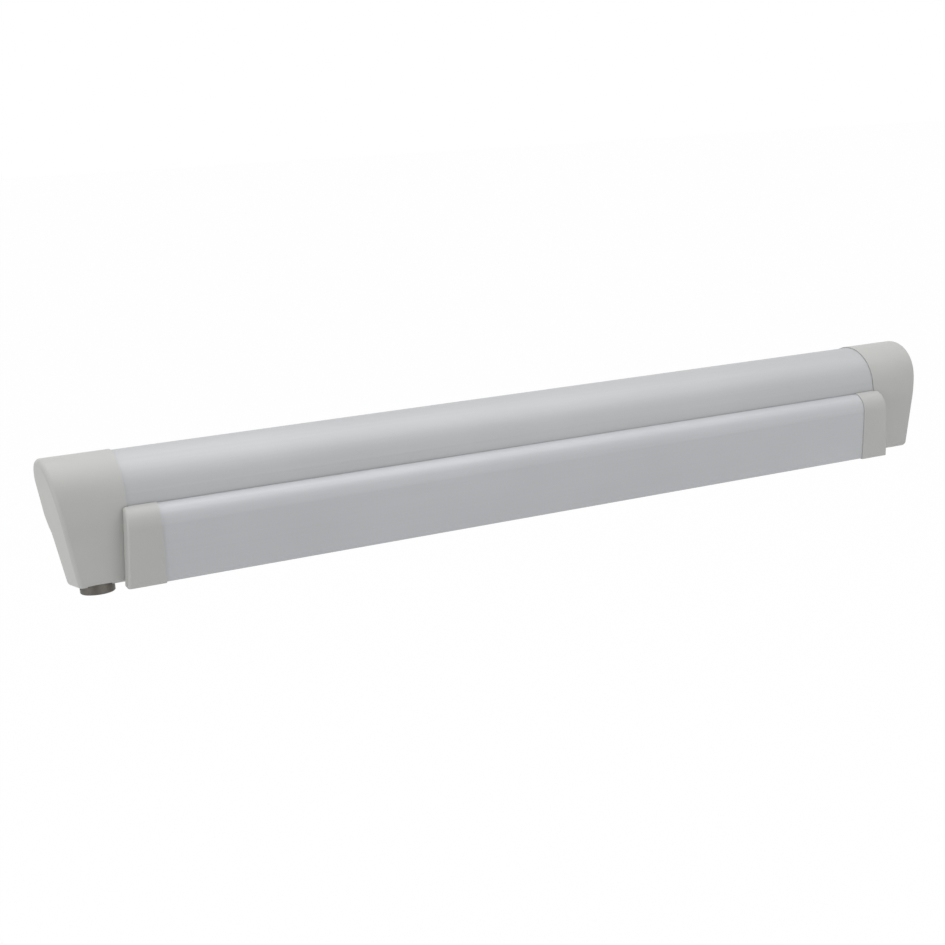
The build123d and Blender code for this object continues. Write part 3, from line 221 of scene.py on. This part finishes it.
# Each finish: its kind, colour and roughness, and its grit where that isn't the usual one
cap_grey = (0.42, 0.42, 0.405)
finishes = {
    "cassette_metal": (anodised, (0.408, 0.413, 0.423), 0.55),
    "lead_metal": (anodised, (0.438, 0.443, 0.458), 0.55),
    "leg_metal": (anodised, (0.50, 0.505, 0.52), 0.45),
    "arm_metal": (moulded, (0.47, 0.475, 0.48), 0.45, 1800),
    "cap_plastic": (moulded, cap_grey, 0.5),
    "lead_cap_plastic": (moulded, cap_grey, 0.48),
    "keder_plastic": (moulded, (0.62, 0.62, 0.60), 0.5),
    "dark_plastic": (moulded, (0.035, 0.035, 0.038), 0.45),
    "bush_plastic": (moulded, (0.04, 0.04, 0.04), 0.4),
    "cast_metal": (cast, (0.42, 0.42, 0.42), 0.5),
    "arm_casting": (cast, (0.36, 0.37, 0.38), 0.48),
    "gear_bronze": (machined, (0.45, 0.29, 0.11), 0.35),
    "dark_steel": (machined, (0.113, 0.105, 0.094), 0.42),
    "screw_steel": (machined, (0.30, 0.30, 0.31), 0.36),
    "spring_steel": (machined, (0.16, 0.16, 0.165), 0.4),
    "roller_steel": (galvanised, (0.52, 0.53, 0.55), 0.4),
    "awning_fabric": (woven, (0.19, 0.21, 0.23), 0.75),
}


def all_materials():
    made = {}
    for name, (kind, *look) in finishes.items():
        made[name] = kind(name, *look)
    return made


def paint_nodes(frame, materials):
    """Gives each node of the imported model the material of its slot."""
    for part in frame["record"]["subparts"]:
        mesh = frame["nodes"][part["node"]].data
        mesh.materials.clear()
        mesh.materials.append(materials[part["material_slot"]])


# Fabric
def wound_cloth(material):
    """The awning cloth in its layers on the roller: one sheet wound from the tube outwards."""
    low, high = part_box("fabric_roll")
    tube_low, tube_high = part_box("roller_tube")
    axis_y = (low[1] + high[1]) / 2
    outer_radius = (high[1] - low[1]) / 2 - cloth_thickness / 2
    inner_radius = (tube_high[1] - tube_low[1]) / 2 + cloth_thickness
    turns = (outer_radius - inner_radius) / layer_pitch
    steps = int(turns * steps_per_turn)
    edges = []
    # Each step has an inner left, inner right, outer left and outer right corner
    for step in range(steps + 1):
        back = (steps - step) / steps_per_turn
        angle = radians(cloth_end_angle + 360 * back)
        radius = outer_radius - layer_pitch * back
        for side in (-0.5, 0.5):
            reach = radius + side * cloth_thickness
            y, z = axis_y + reach * cos(angle), reach * sin(angle)
            edges.append(((low[0], y, z), (high[0], y, z)))
    vertices = [corner for edge in edges for corner in edge]
    faces = []
    for step in range(steps):
        inner, outer = 4 * step, 4 * step + 2
        faces.append((inner, inner + 4, inner + 5, inner + 1))
        faces.append((outer, outer + 1, outer + 5, outer + 4))
        faces.append((inner, outer, outer + 4, inner + 4))
        faces.append((inner + 1, inner + 5, outer + 5, outer + 1))
    last = 4 * steps
    faces.append((0, 1, 3, 2))
    faces.append((last, last + 2, last + 3, last + 1))
    mesh = bpy.data.meshes.new("wound_cloth")
    mesh.from_pydata(vertices, [], faces)
    mesh.shade_smooth()
    mesh.set_sharp_from_angle(angle=radians(cloth_sharp_angle))
    mesh.materials.append(material)
    cloth = bpy.data.objects.new("wound_cloth", mesh)
    bpy.context.scene.collection.objects.link(cloth)
    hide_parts("fabric_roll")
    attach(cloth, "roller")


# Room, lamps and camera
def seen_rays(tree):
    """One for the rays that show the background: camera, glossy and transmission rays."""
    path = tree.nodes.new("ShaderNodeLightPath")
    seen = path.outputs["Is Camera Ray"]
    for kind in ("Is Glossy Ray", "Is Transmission Ray"):
        either = tree.nodes.new("ShaderNodeMath")
        either.operation = "MAXIMUM"
        tree.links.new(seen, either.inputs[0])
        tree.links.new(path.outputs[kind], either.inputs[1])
        seen = either.outputs["Value"]
    return seen


def white_to_the_eye(tree, shaded, share):
    """Mixes a shaded surface with plain white, for the rays that show the background."""
    nodes, links = tree.nodes, tree.links
    white = nodes.new("ShaderNodeEmission")
    white.inputs["Color"].default_value = plain_white
    white.inputs["Strength"].default_value = white_strength
    seen = seen_rays(tree)
    amount = nodes.new("ShaderNodeMath")
    amount.operation = "MULTIPLY"
    amount.inputs[1].default_value = share
    links.new(seen, amount.inputs[0])
    mix = nodes.new("ShaderNodeMixShader")
    links.new(amount.outputs["Value"], mix.inputs["Fac"])
    links.new(shaded, mix.inputs[1])
    links.new(white.outputs["Emission"], mix.inputs[2])
    return mix.outputs["Shader"]


def make_floor():
    bpy.ops.mesh.primitive_plane_add(size=floor_size, location=(0, 0, floor_height))
    floor = bpy.context.object
    floor.name = "floor"
    material, shader = start_material("floor_white")
    clouds = grain(material, scale=even(floor_cloud_scale))
    vary_colour(material, shader, clouds, floor_dark, floor_light)
    shader.inputs["Roughness"].default_value = floor_roughness
    tree = material.node_tree
    output = next(node for node in tree.nodes if node.type == "OUTPUT_MATERIAL")
    seen = white_to_the_eye(tree, shader.outputs["BSDF"], floor_whiteness)
    tree.links.new(seen, output.inputs["Surface"])
    floor.data.materials.append(material)


def make_world():
    world = bpy.data.worlds.new("studio")
    bpy.context.scene.world = world
    world.use_nodes = True
    tree = world.node_tree
    tree.nodes.clear()
    output = tree.nodes.new("ShaderNodeOutputWorld")
    ambient = tree.nodes.new("ShaderNodeBackground")
    ambient.inputs["Color"].default_value = ambient_colour
    ambient.inputs["Strength"].default_value = ambient_strength
    seen = tree.nodes.new("ShaderNodeBackground")
    seen.inputs["Color"].default_value = plain_white
    seen.inputs["Strength"].default_value = white_strength
    mix = tree.nodes.new("ShaderNodeMixShader")
    tree.links.new(seen_rays(tree), mix.inputs["Fac"])
    tree.links.new(ambient.outputs["Background"], mix.inputs[1])
    tree.links.new(seen.outputs["Background"], mix.inputs[2])
    tree.links.new(mix.outputs["Shader"], output.inputs["Surface"])


def soft_lamp(name, place, size, power):
    lamp = bpy.data.lights.new(name, "AREA")
    lamp.shape = "RECTANGLE"
    lamp.size, lamp.size_y = size
    lamp.energy = power
    holder = bpy.data.objects.new(name, lamp)
    bpy.context.scene.collection.objects.link(holder)
    holder.location = place
    towards = Vector(lamp_aim) - Vector(place)
    holder.rotation_euler = towards.to_track_quat("-Z", "Y").to_euler()


def make_lamps():
    soft_lamp("overhead", place=(0.1, 0.1, 1.9), size=(3.4, 1.8), power=40)
    soft_lamp("left", place=(-2.4, -0.5, 0.5), size=(1.4, 1.4), power=15.5)
    soft_lamp("front", place=(0.9, -2.5, 0.2), size=(2.0, 1.6), power=11)


def make_camera():
    right = Vector((cos(camera_yaw), -sin(camera_yaw), 0))
    level = cos(camera_pitch)
    ahead = Vector((sin(camera_yaw) * level, cos(camera_yaw) * level, -sin(camera_pitch)))
    up = right.cross(ahead)
    tilted_right = cos(camera_roll) * right + sin(camera_roll) * up
    tilted_up = cos(camera_roll) * up - sin(camera_roll) * right
    data = bpy.data.cameras.new("camera")
    data.sensor_width = sensor_width
    data.lens = focal_pixels / image_width * sensor_width
    camera = bpy.data.objects.new("camera", data)
    bpy.context.scene.collection.objects.link(camera)
    turn = Matrix((tilted_right, tilted_up, -ahead)).transposed().to_4x4()
    camera.matrix_world = Matrix.Translation(camera_place) @ turn
    bpy.context.scene.camera = camera


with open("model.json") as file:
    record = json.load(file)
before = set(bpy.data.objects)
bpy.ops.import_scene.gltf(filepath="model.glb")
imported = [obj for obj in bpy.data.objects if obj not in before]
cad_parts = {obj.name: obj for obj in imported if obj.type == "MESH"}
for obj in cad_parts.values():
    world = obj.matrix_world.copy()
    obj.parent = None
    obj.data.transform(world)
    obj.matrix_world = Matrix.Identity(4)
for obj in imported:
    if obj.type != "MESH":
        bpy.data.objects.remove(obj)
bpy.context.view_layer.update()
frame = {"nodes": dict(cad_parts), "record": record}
materials = all_materials()
paint_nodes(frame, materials)
wound_cloth(materials["awning_fabric"])
make_floor()
make_world()
make_lamps()
make_camera()
bpy.context.scene.view_settings.view_transform = "Standard"
